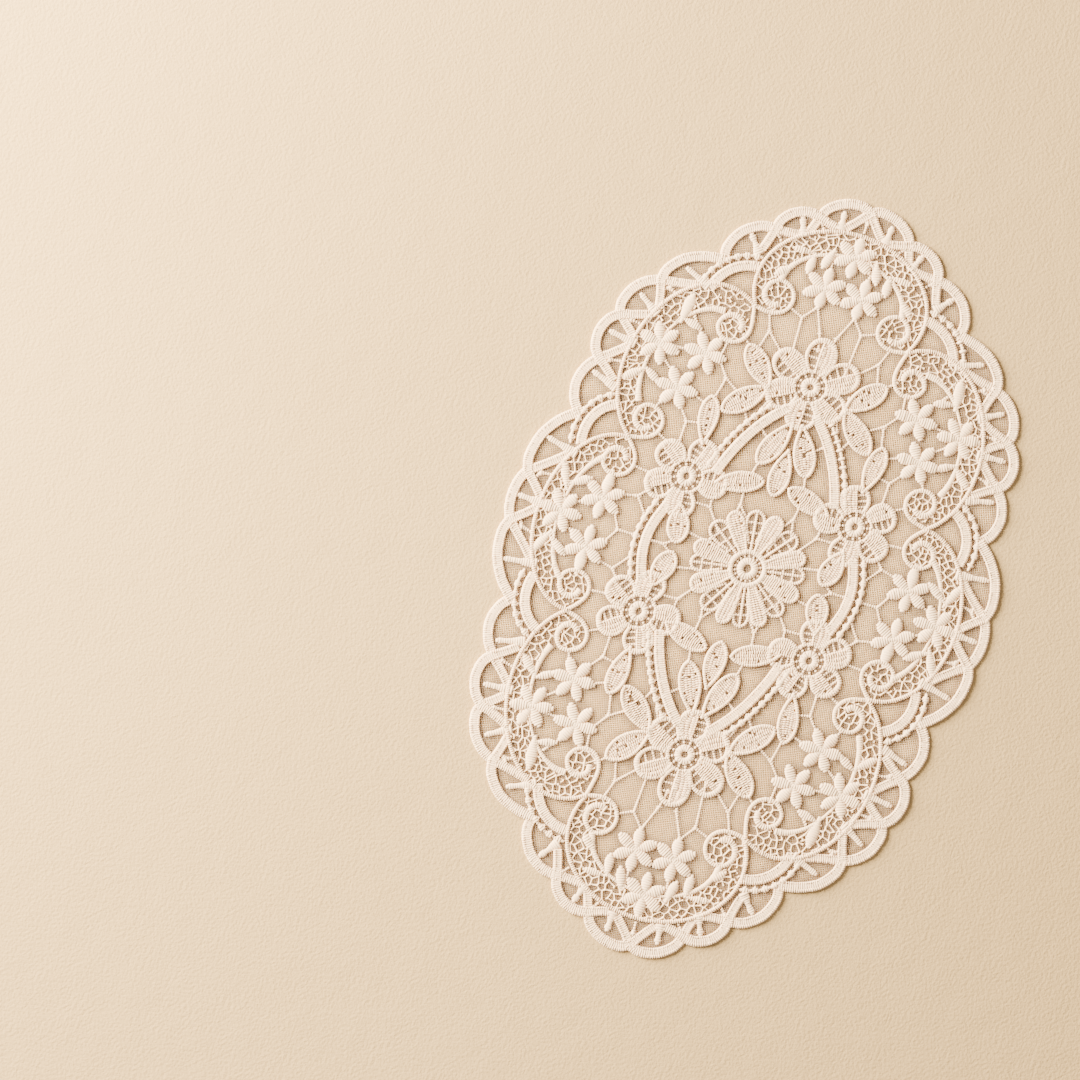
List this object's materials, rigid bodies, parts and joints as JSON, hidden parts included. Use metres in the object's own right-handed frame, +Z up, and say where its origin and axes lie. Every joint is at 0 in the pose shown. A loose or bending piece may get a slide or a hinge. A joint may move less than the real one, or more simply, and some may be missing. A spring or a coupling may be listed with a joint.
{
  "type": "lace doily",
  "caption": "Flat oval lace doily with a scalloped tape edge, paisley medallions, a flower garland and a central daisy.",
  "frame": {"origin": "middle of the underside's bounding box, on the surface that the doily lies on", "axes": "+Z up out of the cloth, +Y along the oval's long axis, +X along its short axis"},
  "size_m": [0.2584, 0.4048, 0.0019],
  "materials": {
    "ivory_cotton": "matt cotton thread, satin stitched"
  },
  "bodies": {
    "root": {"lace_doily": "ivory_cotton"}
  },
  "joints": []
}
